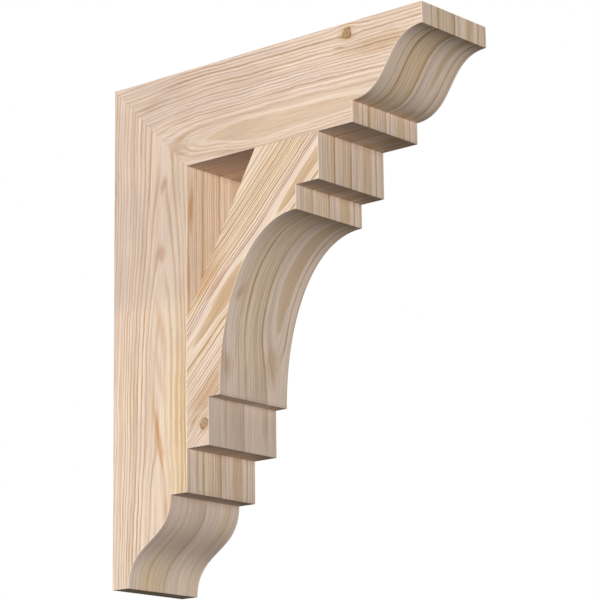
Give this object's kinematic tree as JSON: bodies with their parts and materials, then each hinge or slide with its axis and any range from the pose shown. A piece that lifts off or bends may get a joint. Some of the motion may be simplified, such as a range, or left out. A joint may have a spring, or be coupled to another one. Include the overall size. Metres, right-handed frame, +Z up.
{
  "type": "wooden corbel bracket",
  "caption": "Sawn softwood corbel bracket: upright post mitred to a level beam, with a shaped brace across the corner and ogee ends; carries a shelf, eave or beam off a wall.",
  "frame": {"origin": "on the wall plane, at the centre of the post's flat back: mid-height and mid-width of the bracket", "axes": "+X points away from the wall along the beam, +Y across the bracket's width, +Z up along the post"},
  "size_m": [0.3556, 0.0888, 0.4572],
  "materials": {
    "post_wood": "planed and sanded pale softwood, bare, grain running up the post",
    "beam_wood": "planed and sanded pale softwood, bare, grain running along the beam",
    "brace_wood": "planed and sanded pale softwood, bare, grain running along the slant of the brace"
  },
  "bodies": {
    "root": {"post": "post_wood", "beam": "beam_wood", "brace": "brace_wood"}
  },
  "joints": []
}
